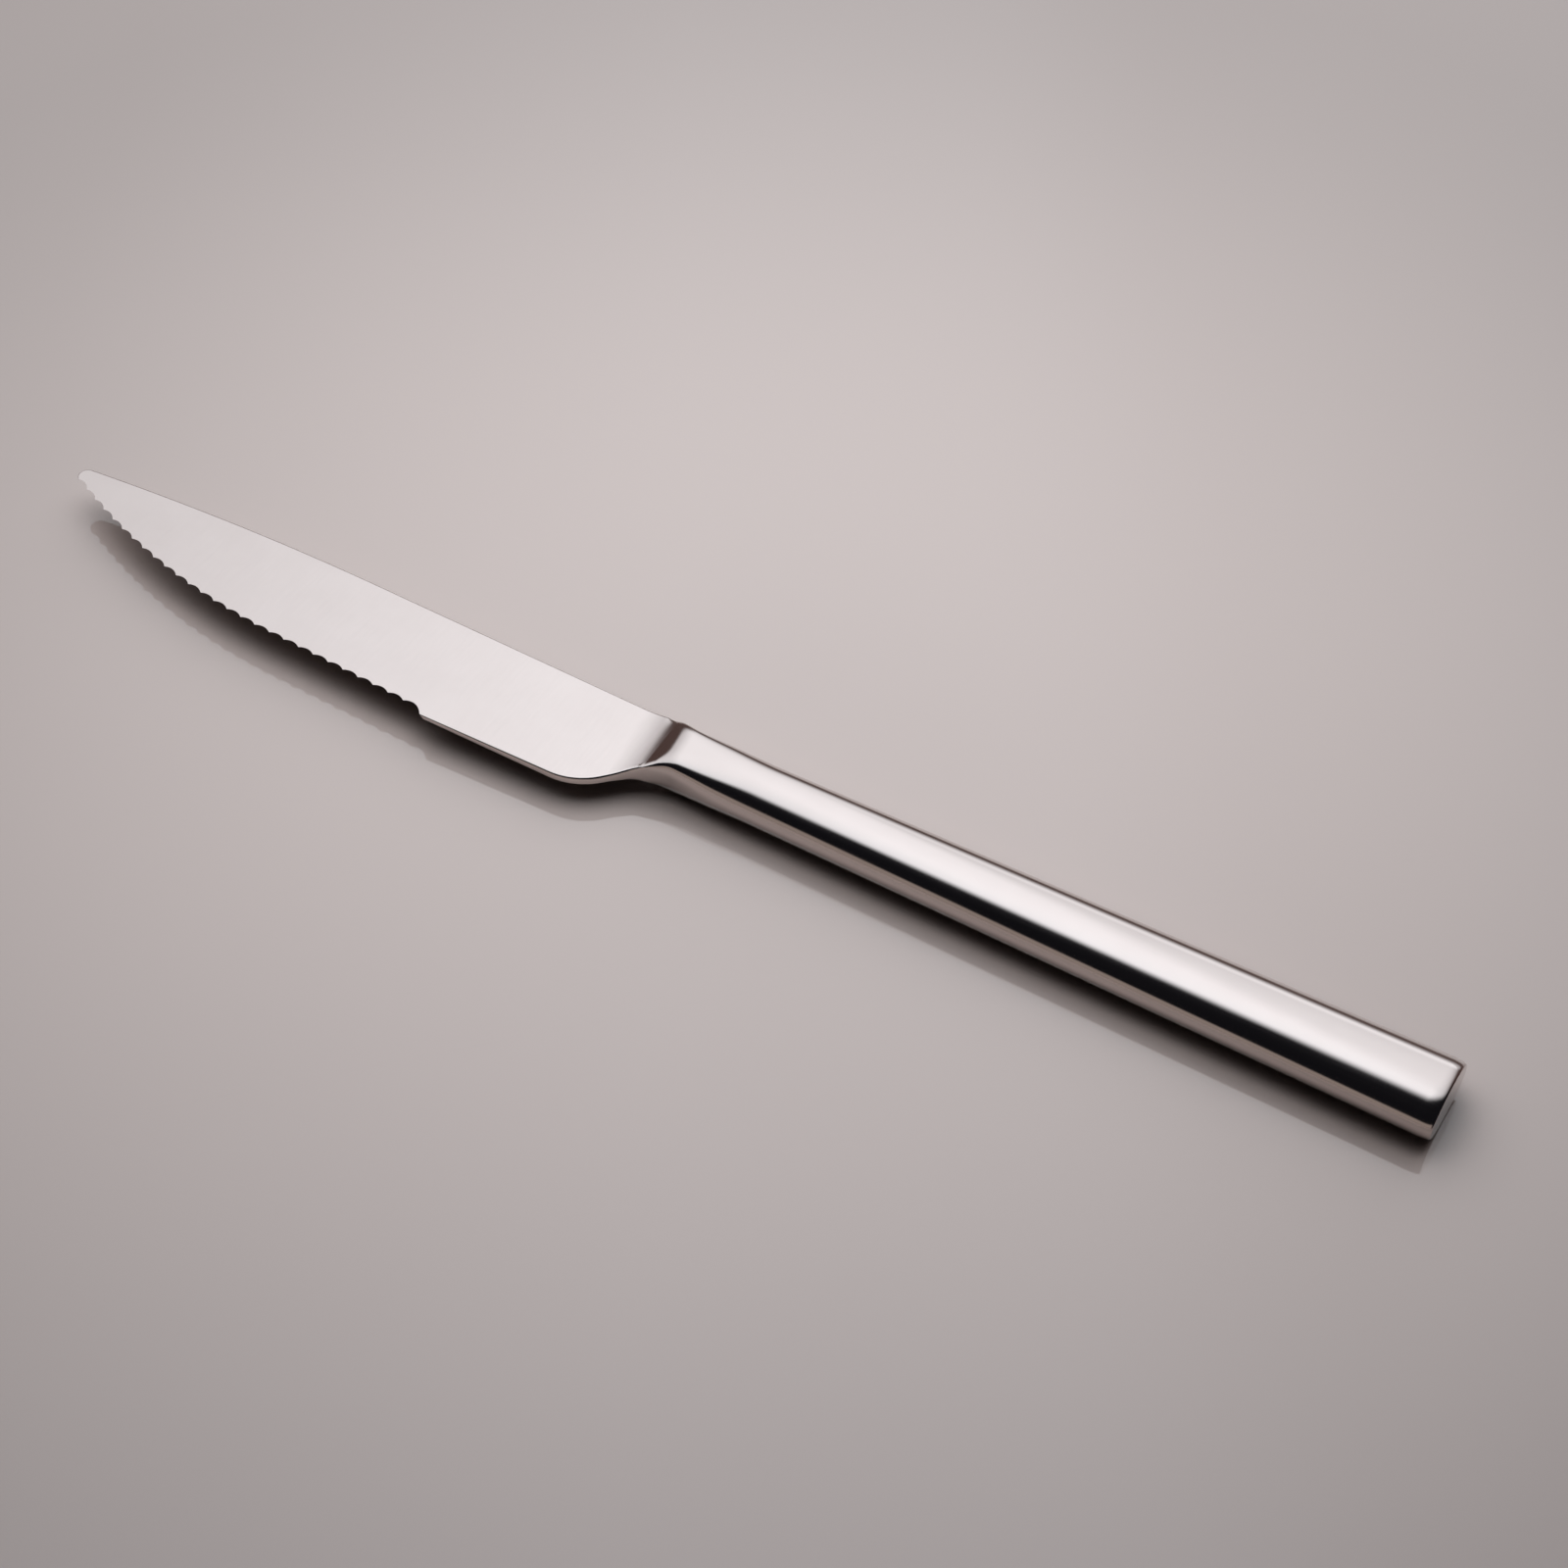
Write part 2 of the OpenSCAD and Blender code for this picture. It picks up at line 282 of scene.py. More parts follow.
def lift(s):
    """Height of the sweep at a length s from its start."""
    run = np.clip(s, 0, ramp_run)
    hollow = hollow_r - np.sqrt(np.clip(hollow_r ** 2 - run ** 2, 0, None))
    crest = ramp_rise - crest_r + np.sqrt(np.clip(crest_r ** 2 - (ramp_run - run) ** 2, 0, None))
    return np.where(run < hollow_r * math.sin(ramp_angle), hollow, crest)


def opened(share):
    return 1 - (1 - np.clip(share, 0, 1)) ** neck_opening


def swell(x):
    """Half thickness of the handle."""
    return neck_t / 2 + (mid_z - neck_t / 2) * opened((x - joint_x) / (shell_x - joint_x))


def half_t(x, y):
    """Half thickness at a point of the plan."""
    thin = spine_t / 2 - (spine_y - y) * math.tan(face_dip)
    share = lift(x - joint_x + ramp_in + y * math.tan(ramp_skew)) / ramp_rise
    return thin + (swell(x) - thin) * share


def upper_z(x, y):
    return mid_z + half_t(x, y) + (joint_x - x) * math.tan(blade_lift - face_fall)


def lower_z(x, y):
    return mid_z - half_t(x, y) + (joint_x - x) * math.tan(blade_lift + face_fall)


# Handle sections

def eased(share):
    return (1 - np.cos(np.pi * np.clip(share, 0, 1))) / 2


def taper_w(x):
    return (shoulder_w + (butt_w - shoulder_w) * (x - shell_x) / (butt_x - shell_x)) / 2


def half_w(x):
    drawn = taper_w(waist_x) - waist_w / 2
    return taper_w(x) - drawn * eased((taper_x - x) / waist_out)


def front_w(x):
    ahead = np.clip(waist_x - x, 0, None)
    sweep = waist_w / 2 + waist_r - np.sqrt(waist_r ** 2 - ahead ** 2)
    return np.where(x < waist_x, sweep, half_w(x))


def back_w(x):
    bend = waist_w / 2 + (neck_back - waist_w / 2) * eased((waist_x - x) / waist_in)
    return np.where(x < waist_x, bend, half_w(x))


def power(x):
    open_share = opened((x - joint_x) / (shell_x - joint_x))
    return 1 / (1 / neck_power + (1 / section_power - 1 / neck_power) * open_share)


def front_power(x):
    """Roundness on the edge's side, which stays crisp at the joint."""
    crisp = (1 / neck_power - 1 / joint_power) * (1 - eased((x - joint_x) / joint_l))
    return 1 / (1 / power(x) - crisp)


def bowed(value, roundness):
    return np.sign(value) * np.abs(value) ** (2 / roundness)


def section(x, inset, angles):
    """Points of the handle's section at x, drawn in from the outside by inset."""
    is_back = np.cos(angles) > 0
    side = np.where(is_back, back_w(x), front_w(x)) - inset
    roundness = np.where(is_back, power(x), front_power(x))
    y = side * bowed(np.cos(angles), roundness)
    z = mid_z + (half_t(x, y) - inset) * bowed(np.sin(angles), roundness)
    return np.stack([np.full_like(y, x), y, z], -1)


# Plan of the blade, anticlockwise from the spine's end of the joint

def heading(vector):
    return math.atan2(vector[1], vector[0])


def turned(angles):
    return np.stack([np.cos(angles), np.sin(angles)], -1)


def arc(centre, radius, start, end):
    return centre + radius * turned(np.linspace(start, end, arc_steps + 1))


def closing_r(point, normal):
    """Radius of an arc that leaves a point along a normal and closes round the tip."""
    away = point - tip
    return (tip_r ** 2 - away @ away) / (2 * (normal @ away + tip_r))


quarter = math.pi / 2
tip = np.array([tip_x + tip_r, tip_y])

spine_slope = math.atan(spine_rise / spine_straight)
spine_start = np.array([joint_x - spine_draw_l, spine_y])
spine_end = spine_start + np.array([-spine_straight, spine_rise])
spine_n = np.array([-math.sin(spine_slope), -math.cos(spine_slope)])
spine_r = closing_r(spine_end, spine_n)
spine_c = spine_end + spine_r * spine_n
spine_a = heading(tip - spine_c)

teeth_start = np.array([joint_x - plain_l, -edge_y])
edge_dir = np.array([-math.cos(edge_rake), math.sin(edge_rake)])
edge_n = np.array([math.sin(edge_rake), math.cos(edge_rake)])
edge_end = teeth_start + edge_straight * edge_dir
edge_r = closing_r(edge_end, edge_n)
edge_c = edge_end + edge_r * edge_n
edge_a0 = 3 * quarter - edge_rake
edge_a1 = heading(tip - edge_c) + 4 * quarter
edge_l = edge_straight + edge_r * (edge_a0 - edge_a1)
bites = int(edge_l / tooth_pitch)

plain_start = teeth_start - np.array([0, plain_proud])
plain_n = np.array([-math.sin(plain_rake), math.cos(plain_rake)])
waist_c = np.array([waist_x, -waist_w / 2 - waist_r])
slant_top = waist_c + waist_r * np.array([-math.sin(heel_angle), math.cos(heel_angle)])
slant_turn = heel_angle - plain_rake
slant_fall = plain_n @ (slant_top - plain_start) - heel_r * (1 - math.cos(slant_turn))
slant_l = slant_fall / math.sin(slant_turn)
slant_low = slant_top - slant_l * turned(heel_angle)
heel_c = slant_low + heel_r * np.array([-math.sin(heel_angle), math.cos(heel_angle)])


def tooth_line(s):
    """Points of the line of the teeth, and outward directions, at lengths s from its heel end."""
    angles = edge_a0 - np.clip(s - edge_straight, 0, None) / edge_r
    out = turned(angles)
    straight = teeth_start + s[:, None] * edge_dir
    return np.where(s[:, None] < edge_straight, straight, edge_c + edge_r * out), out


def heel_y(x):
    """Outline below the neck: the heel's round, a slant and the sweep up to the waist."""
    heel = heel_c[1] - np.sqrt(np.clip(heel_r ** 2 - (x - heel_c[0]) ** 2, 0, None))
    slant = slant_top[1] + (x - slant_top[0]) * math.tan(heel_angle)
    waist = waist_c[1] + np.sqrt(np.clip(waist_r ** 2 - (x - waist_c[0]) ** 2, 0, None))
    return np.where(x < slant_low[0], heel, np.where(x < slant_top[0], slant, waist))


def blade_path():
    """Outline of the blank, with the rounding of its upper and lower edge at each point."""
    ramp = joint_x - root_l * np.linspace(0, 1, ramp_rows)
    ramp = np.append(ramp, ramp[-1] - ramp_rim)
    drawn = spine_y - spine_draw * (1 - eased((joint_x - ramp) / spine_draw_l))
    spine = np.concatenate([
        np.stack([ramp, drawn], -1),
        arc(spine_c, spine_r, quarter - spine_slope, spine_a),
    ])
    nose = arc(tip, tip_r, spine_a, edge_a1)[1:]
    lengths = np.linspace(edge_l, 0, 2 * arc_steps)[1:-1]
    line, out = tooth_line(lengths)
    stock = line + plain_proud * (1 - lengths / edge_l)[:, None] * out
    heel = arc(heel_c, heel_r, plain_rake - quarter, heel_angle - quarter)
    heel = heel[heel[:, 0] < ramp[-1] - tooth_edge_r]
    plain = plain_start + np.linspace(0, 1, arc_steps)[:-1, None] * (heel[0] - plain_start)
    sweep = np.stack([ramp[::-1], heel_y(ramp[::-1])], -1)
    path = np.concatenate([spine, nose, stock, plain, heel, sweep])
    upper = np.concatenate([
        np.full(len(spine), spine_edge_r),
        np.linspace(spine_edge_r, tooth_edge_r, len(nose)),
        np.full(len(stock), tooth_edge_r),
        np.linspace(plain_edge_r, heel_edge_r, len(plain)),
        np.full(len(heel) + len(sweep), heel_edge_r),
    ])
    lower = np.concatenate([
        upper[:-len(plain) - len(heel) - len(sweep)],
        np.linspace(plain_under_r, heel_under_r, len(plain)),
        np.full(len(heel) + len(sweep), heel_under_r),
    ])
    return path, upper, lower


def joint_profile(facing):
    """Edge of the blade's root, from its upper to its lower face, as the bolster's front has it."""
    angles = np.linspace(quarter, -quarter, profile_n)
    if facing < 0:
        angles = 2 * quarter - angles
    points = section(joint_x, 0, angles)
    half = facing * points[:, 1]
    reach = half.max()
    edge = points[half > reach - heel_edge_r - flat_rim]
    step = np.diff(edge[:, 1:], axis=0)
    length = np.hypot(step[:, 0], step[:, 1])
    turn = np.abs(np.diff(np.unwrap(np.arctan2(step[:, 1], step[:, 0]))))
    measure = np.concatenate([[0], np.cumsum(length + np.append(turn, 0) * heel_edge_r)])
    levels = np.linspace(0, measure[-1], edge_levels)
    inset = reach - facing * np.interp(levels, measure, edge[:, 1])
    return inset, np.interp(levels, measure, edge[:, 2])


def root_share(x):
    """How far the blade has taken over the bolster's section, along its root."""
    return 1 - eased((joint_x - x) / joint_l)


def root_drop(y):
    """How far the bolster's rounded front end lies within the flat sweep."""
    side = np.where(y > 0, back_w(joint_x), front_w(joint_x))
    roundness = np.where(y > 0, power(joint_x), front_power(joint_x))
    return half_t(joint_x, y) * (1 - (1 - np.abs(y / side) ** roundness) ** (1 / roundness))


def rim_rows(path, upper, lower):
    """Points round the blade's rim: a row for each level, from the upper face to the lower."""
    travel = np.gradient(path, axis=0)
    travel /= np.linalg.norm(travel, axis=1)[:, None]
    inward = np.stack([-travel[:, 1], travel[:, 0]], -1)
    inward[0] = (0, -1)
    inward[-1] = (0, 1)
    turns = np.linspace(0, quarter, round_steps + 1)
    in_shares = np.concatenate([[1], 1 - np.sin(turns)])
    down_shares = np.concatenate([[0], 1 - np.cos(turns)])
    rim = np.zeros(round_steps + 2)
    rim[0] = flat_rim
    # Close to the joint the blade's root takes over the bolster's own section
    share = root_share(path[:, 0])
    back_inset, back_z = joint_profile(1)
    front_inset, front_z = joint_profile(-1)
    is_back = path[:, 1] > 0
    rows = []
    for level in range(edge_levels):
        over = level < edge_levels // 2
        k = level if over else edge_levels - 1 - level
        radius, height, inwards = (upper, upper_z, -1) if over else (lower, lower_z, 1)
        inset = np.minimum(radius, heel_edge_r) * in_shares[k] + rim[k]
        at = path + inset[:, None] * inward
        z = height(at[:, 0], at[:, 1]) + inwards * radius * down_shares[k]
        root_inset = np.where(is_back, back_inset[level], front_inset[level])
        root_z = np.where(is_back, back_z[level], front_z[level])
        here_z = height(path[:, 0], path[:, 1])
        face_z = height(joint_x, np.where(is_back, path[0, 1], path[-1, 1]))
        inset = inset + share * (root_inset - inset)
        z = z + share * (root_z - face_z + here_z - z)
        rows.append(np.column_stack([path + inset[:, None] * inward, z]))
    return rows


def root_lines(points, start, end, height, inwards):
    """Adds lines of points across one face of the root, from the spine's side to the edge's."""
    root_y = points[[start, end], 1]
    shares = np.linspace(0, 1, ramp_points + 2)[1:-1, None]
    lines = []
    for i in range(ramp_rows + 1):
        ends = (start + i, end - i)
        plan = points[ends[0], :2] + shares * (points[ends[1], :2] - points[ends[0], :2])
        flat_y = root_y[0] + shares[:, 0] * (root_y[1] - root_y[0])
        drop = root_share(plan[:, 0]) * root_drop(flat_y)
        inner = np.column_stack([plan, height(plan[:, 0], plan[:, 1]) + inwards * drop])
        numbers = range(len(points), len(points) + ramp_points)
        points = np.concatenate([points, inner])
        lines.append([ends[0], *numbers, ends[1]])
    return points, lines


def blade_blank(material):
    """The blade before its teeth and tang: a rounded rim, two faces and the root's flat end."""
    path, upper, lower = blade_path()
    count = len(path)
    last = count - 1
    points = np.concatenate(rim_rows(path, upper, lower))
    faces = []
    for k in range(edge_levels - 1):
        for i in range(last):
            top = k * count + i
            low = top + count
            faces.append((low, low + 1, top + 1, top))
    root = []
    for level, height, inwards in ((0, upper_z, -1), (edge_levels - 1, lower_z, 1)):
        start = level * count
        points, lines = root_lines(points, start, start + last, height, inwards)
        sheet = [
            (line[n], after[n], after[n + 1], line[n + 1])
            for line, after in zip(lines, lines[1:]) for n in range(ramp_points + 1)
        ]
        flat = [start + n for n in range(ramp_rows, last - ramp_rows)]
        sheet.append(flat + lines[-1][:0:-1])
        faces += sheet if level == 0 else [list(face)[::-1] for face in sheet]
        root.append(lines[0])
    spine_side = [k * count for k in reversed(range(1, edge_levels - 1))]
    edge_side = [k * count + last for k in range(1, edge_levels - 1)]
    faces.append(spine_side + root[0] + edge_side + root[1][::-1])
    return mesh_piece("knife_blade", points, faces, material)


def tang_tool(material, gap):
    """Outline of the tang, with its notches, raised to its thickness."""
    root_x = joint_x - ramp_in / 2
    end_x = joint_x + tang_l
    half = tang_w / 2 + gap
    end_half = tang_end_w / 2 + gap
    side = [(root_x, half), (cement_x, half)]
    for i in range(tang_notches):
        x = cement_x + (i + 0.5) * tang_notch_pitch
        y = half + (end_half - half) * (x - cement_x) / (end_x - cement_x)
        slope = math.atan2(end_half - half, end_x - cement_x)
        bow = np.linspace(2 * quarter + slope, 4 * quarter + slope, 2 * round_steps + 1)
        notch = np.array([x, y]) + tang_notch_r * turned(bow)
        side.extend(map(tuple, notch))
    side.append((end_x, end_half))
    outline = [(x, -y) for x, y in side] + side[::-1]
    count = len(outline)
    low = mid_z - tang_t / 2 - gap
    high = mid_z + tang_t / 2 + gap
    points = [(x, y, low) for x, y in outline] + [(x, y, high) for x, y in outline]
    faces = [list(range(count))[::-1], list(range(count, 2 * count))]
    for i in range(count):
        after = (i + 1) % count
        faces.append((i, after, after + count, i + count))
    return mesh_piece("tang_tool", points, faces, material)


# Teeth: one grinding wheel for each hollow, set along the line of the teeth

def teeth_tree(sizes):
    tree, size = shape_tree("tooth grinding", sizes)
    index = add_node(tree, "GeometryNodeInputIndex").outputs[0]
    s = add_math(tree, "MULTIPLY", add_math(tree, "ADD", index, 0.5), size["Pitch"])
    past = add_math(tree, "MAXIMUM", add_math(tree, "SUBTRACT", s, size["Straight"]), 0.0)
    bend = add_math(tree, "DIVIDE", past, size["Bend radius"])
    angle = add_math(tree, "SUBTRACT", size["Start angle"], bend)
    out_x = add_math(tree, "COSINE", angle)
    out_y = add_math(tree, "SINE", angle)
    run = add_math(tree, "SUBTRACT", add_math(tree, "MINIMUM", s, size["Straight"]), size["Straight"])
    reach = add_math(tree, "SUBTRACT", size["Bend radius"], size["Depth"])
    start_x = add_math(tree, "COSINE", size["Start angle"])
    start_y = add_math(tree, "SINE", size["Start angle"])

    def along(centre, out, back):
        deepest = add_math(tree, "MULTIPLY_ADD", reach, out, centre)
        return add_math(tree, "MULTIPLY_ADD", run, back, deepest)

    x = along(size["Bend centre x"], out_x, start_y)
    y = along(size["Bend centre y"], out_y, add_math(tree, "MULTIPLY", start_x, -1.0))
    fall = add_math(tree, "MULTIPLY_ADD", x, size["Face rise along"], size["Face height"])
    z = add_math(tree, "MULTIPLY_ADD", y, size["Face rise across"], fall)
    lean_in = add_math(tree, "COSINE", size["Bevel"])
    lean_up = add_math(tree, "SINE", size["Bevel"])
    aside = add_math(tree, "MULTIPLY", size["Wheel radius"], lean_up)
    below = add_math(tree, "MULTIPLY", size["Wheel radius"], lean_in)
    place = add_node(tree, "ShaderNodeCombineXYZ", {
        "X": add_math(tree, "MULTIPLY_ADD", aside, out_x, x),
        "Y": add_math(tree, "MULTIPLY_ADD", aside, out_y, y),
        "Z": add_math(tree, "SUBTRACT", z, below),
    }).outputs[0]
    axis = add_node(tree, "ShaderNodeCombineXYZ", {
        "X": add_math(tree, "MULTIPLY", lean_in, out_x),
        "Y": add_math(tree, "MULTIPLY", lean_in, out_y),
        "Z": lean_up,
    }).outputs[0]
    points = add_node(tree, "GeometryNodePoints", {"Count": size["Bites"], "Position": place}).outputs[0]
    turn = add_node(tree, "FunctionNodeAlignRotationToVector", {"Vector": axis}, axis="Z").outputs[0]
    wheel = add_node(tree, "GeometryNodeMeshCylinder", {
        "Vertices": size["Wheel sides"], "Radius": size["Wheel radius"], "Depth": size["Wheel length"],
    }).outputs["Mesh"]
    wheels = add_node(tree, "GeometryNodeInstanceOnPoints", {
        "Points": points, "Instance": wheel, "Rotation": turn,
    }).outputs[0]
    ground = add_node(tree, "GeometryNodeMeshBoolean", {
        "Mesh 1": size["Geometry"], "Mesh 2": wheels,
    }, operation="DIFFERENCE", solver="MANIFOLD").outputs[0]
    end_tree(tree, ground, size["Steel"])
    return tree


def grind_teeth(blade, steel):
    wheel_r = (tooth_pitch / 2) ** 2 / (2 * bite_depth * math.sin(bite_angle))
    height = upper_z(tip_x, 0)
    rise_x = (upper_z(tip_x + probe_l, 0) - height) / probe_l
    rise_y = (upper_z(tip_x, probe_l) - height) / probe_l
    sizes = {
        "Bites": bites,
        "Pitch": tooth_pitch * mm,
        "Straight": edge_straight * mm,
        "Start angle": edge_a0,
        "Bend radius": edge_r * mm,
        "Bend centre x": edge_c[0] * mm,
        "Bend centre y": edge_c[1] * mm,
        "Depth": bite_depth * mm,
        "Bevel": bite_angle,
        "Wheel radius": wheel_r * mm,
        "Wheel length": 2 * (spine_t + plain_proud) / math.sin(bite_angle) * mm,
        "Wheel sides": wheel_sides,
        "Face height": float(height - rise_x * tip_x) * mm,
        "Face rise along": float(rise_x),
        "Face rise across": float(rise_y),
    }
    run_tree(blade, teeth_tree(sizes), sizes, steel)
    settle(blade)


# Half shells of the handle

def shell_tree(sizes):
    tree, size = shape_tree("handle shell", sizes)
    sheet = add_node(tree, "GeometryNodeMeshGrid", {
        "Size X": sheet_side, "Size Y": sheet_side,
        "Vertices X": size["Rows"], "Vertices Y": size["Points"],
    }).outputs["Mesh"]
    spot = add_node(tree, "GeometryNodeInputPosition").outputs[0]
    split = add_node(tree, "ShaderNodeSeparateXYZ", {"Vector": spot}).outputs
    along_share = add_math(tree, "ADD", split["X"], sheet_side / 2)
    round_share = add_math(tree, "SUBTRACT", sheet_side / 2, split["Y"])
    angle = add_math(tree, "MULTIPLY", round_share, math.pi)

    def between(start, end):
        return add_math(tree, "MULTIPLY_ADD", along_share, add_math(tree, "SUBTRACT", end, start), start)

    def bow(value):
        raised = add_math(tree, "DIVIDE", 2.0, size["Roundness"])
        reach = add_math(tree, "POWER", add_math(tree, "ABSOLUTE", value), raised)
        return add_math(tree, "MULTIPLY", add_math(tree, "SIGN", value), reach)

    half = add_math(tree, "MULTIPLY", between(size["Front width"], size["Rear width"]), 0.5)
    height = add_math(tree, "MULTIPLY", size["Thickness"], 0.5)
    across = add_math(tree, "MULTIPLY", half, bow(add_math(tree, "COSINE", angle)))
    up = add_math(tree, "MULTIPLY", height, bow(add_math(tree, "SINE", angle)))
    place = add_node(tree, "ShaderNodeCombineXYZ", {
        "X": between(size["Front"], size["Rear"]),
        "Y": add_math(tree, "MULTIPLY", across, size["Side"]),
        "Z": add_math(tree, "MULTIPLY_ADD", up, size["Side"], height),
    }).outputs[0]
    formed = add_node(tree, "GeometryNodeSetPosition", {"Geometry": sheet, "Position": place}).outputs[0]
    end_tree(tree, formed, size["Steel"])
    return tree


def handle_shell(name, side, tree, sizes, steel):
    """One half shell: side is 1 for the upper half and -1 for the lower."""
    shell = add_object(name, bpy.data.meshes.new(name))
    run_tree(shell, tree, dict(sizes, Side=side), steel)
    thick = shell.modifiers.new("wall", "SOLIDIFY")
    thick.thickness = wall * mm
    # The wall grows inwards from the sheet
    thick.offset = -1
    settle(shell)
    return shell


def true_skin(piece):
    """Gives the outer skin the exact slope of the section, so that the shells' seam lies flush."""
    mesh = piece.data
    points = np.empty(len(mesh.vertices) * 3)
    mesh.vertices.foreach_get("co", points)
    x, y, z = points.reshape(-1, 3).T / mm
    width = taper_w(x)
    across = np.abs(y) / width
    up = np.abs(z - mid_z) / mid_z
    is_outer = np.abs(across ** section_power + up ** section_power - 1) < skin_tolerance
    slope = (taper_w(butt_x) - taper_w(shell_x)) / (butt_x - shell_x)
    normal = np.stack([
        -slope * across ** section_power / width,
        np.sign(y) * across ** (section_power - 1) / width,
        np.sign(z - mid_z) * up ** (section_power - 1) / mid_z,
    ], -1)
    normal /= np.linalg.norm(normal, axis=1)[:, None] + tiny
    spots = np.empty(len(mesh.loops), dtype=int)
    mesh.loops.foreach_get("vertex_index", spots)
    starts = np.empty(len(mesh.polygons), dtype=int)
    mesh.polygons.foreach_get("loop_start", starts)
    outer_face = np.logical_and.reduceat(is_outer[spots], starts)
    counts = np.diff(np.append(starts, len(spots)))
    outer_spot = np.repeat(outer_face, counts)
    now = np.empty(len(spots) * 3)
    mesh.corner_normals.foreach_get("vector", now)
    skin = np.where(outer_spot[:, None], normal[spots], now.reshape(-1, 3))
    mesh.normals_split_custom_set(skin.tolist())


# Bolster and butt cap

def ring_rows(stations):
    angles = np.linspace(0, 4 * quarter, ring_n, endpoint=False)
    return [section(x, inset, angles) for x, inset in stations]


def capped_loft(name, rows, material):
    points = np.concatenate(rows)
    faces = loft_faces(len(rows), ring_n)
    faces.append(list(range(ring_n))[::-1])
    faces.append(list(range(len(points) - ring_n, len(points))))
    return mesh_piece(name, points, faces, material)


def bolster_piece(steel):
    places = np.concatenate([
        np.linspace(joint_x, joint_x + ramp_run, sweep_rows + 1)[:-1],
        np.linspace(joint_x + ramp_run, shell_x, bolster_rows + 1),
    ])
    inset = wall + braze_gap
    rows = ring_rows([(x, 0) for x in places] + [(shell_x, inset), (cement_x, inset)])
    bolster = capped_loft("neck_bolster", rows, steel)
    carve(bolster, tang_tool(steel, braze_gap), "DIFFERENCE")
    return bolster


def butt_piece(steel):
    inset = wall + braze_gap
    round_x = butt_x - butt_edge_l
    turns = np.linspace(0, quarter, butt_round_steps + 1)
    stations = [(cement_end_x, inset), (cap_x, inset), (cap_x, 0)]
    stations += [
        (round_x + butt_edge_l * math.sin(turn), butt_edge_d * (1 - math.cos(turn))) for turn in turns
    ]
    stations.append((butt_x, butt_edge_d + 2 * flat_rim))
    return capped_loft("butt_plate", ring_rows(stations), steel)


# Finishes

# Patterns: cells to the metre along each axis, layers of finer cells, and the share each layer keeps
handle_streaks = ((90.0, 2600.0, 2600.0), 3.0, 0.6)
blade_streaks = ((1800.0, 160.0, 400.0), 3.0, 0.6)
steel_clouds = ((90.0, 130.0, 130.0), 3.0, 0.6)
cement_grains = ((2600.0, 2600.0, 2600.0), 4.0, 0.7)
cement_clouds = ((240.0, 240.0, 240.0), 2.0, 0.5)
table_clouds = ((14.0, 14.0, 14.0), 2.0, 0.5)
# Middle of a pattern's range, which is spread out to the full range of a tone or a gloss
pattern_range = (0.3, 0.7)

# Colours from dark to light, ranges of roughness, and depths of the surface
steel_tones = ((0.645, 0.581, 0.556), (0.665, 0.601, 0.576))
handle_roughness = (0.10, 0.14)
blade_roughness = (0.16, 0.22)
streak_depth = 0.0003
cement_tones = ((0.20, 0.18, 0.15), (0.36, 0.33, 0.28))
cement_cloud_shares = (0.4, 1.0)
cement_grain_shares = (0.6, 1.0)
cement_roughness = (0.7, 0.95)
cement_depth = 0.05
cement_depth_share = 0.6


def finish(name):
    material = bpy.data.materials.new(name)
    material.use_nodes = True
    tree = material.node_tree
    tree.nodes.clear()
    shader = add_node(tree, "ShaderNodeBsdfPrincipled")
    output = add_node(tree, "ShaderNodeOutputMaterial")
    tree.links.new(shader.outputs[0], output.inputs[0])
    return material, tree, shader


def noise(tree, cells, layers, layer_share):
    """A random pattern over the piece's own coordinates."""
    spot = add_node(tree, "ShaderNodeTexCoord").outputs["Object"]
    stretch = add_node(tree, "ShaderNodeMapping", {"Vector": spot, "Scale": cells}).outputs[0]
    return add_node(tree, "ShaderNodeTexNoise", {
        "Vector": stretch, "Scale": 1.0, "Detail": layers, "Roughness": layer_share,
    }).outputs[0]


def ramp_up(tree, value, low, high, bottom=0.0, top=1.0, kind="SMOOTHSTEP"):
    """A change from bottom to top as a value runs from low to high."""
    return add_node(tree, "ShaderNodeMapRange", {
        "Value": value, "From Min": low, "From Max": high, "To Min": bottom, "To Max": top,
    }, interpolation_type=kind).outputs[0]


def ramp_down(tree, value, low, high):
    return ramp_up(tree, value, low, high, 1.0, 0.0)


def spread(tree, pattern, low, high):
    return ramp_up(tree, pattern, *pattern_range, low, high, "LINEAR")


def blend_colour(tree, share, first, second):
    mix = add_node(tree, "ShaderNodeMix", {0: share}, data_type="RGBA")
    mix.inputs[6].default_value = (*first, 1)
    mix.inputs[7].default_value = (*second, 1)
    return mix.outputs[2]


def raise_grain(tree, shader, height, depth, depth_share=1.0):
    bump = add_node(tree, "ShaderNodeBump", {
        "Strength": depth_share, "Distance": depth * mm, "Height": height,
    }).outputs[0]
    feed(tree, bump, shader.inputs["Normal"])


def steel_finish(name, streak_cells, roughness):
    """Brushed steel: streaks along the piece in gloss and height, and a cloudy change of tone."""
    material, tree, shader = finish(name)
    streaks = noise(tree, *streak_cells)
    cloud_share = spread(tree, noise(tree, *steel_clouds), 0.0, 1.0)
    feed(tree, blend_colour(tree, cloud_share, *steel_tones), shader.inputs["Base Color"])
    shader.inputs["Metallic"].default_value = 1.0
    feed(tree, spread(tree, streaks, *roughness), shader.inputs["Roughness"])
    raise_grain(tree, shader, streaks, streak_depth)
    return material


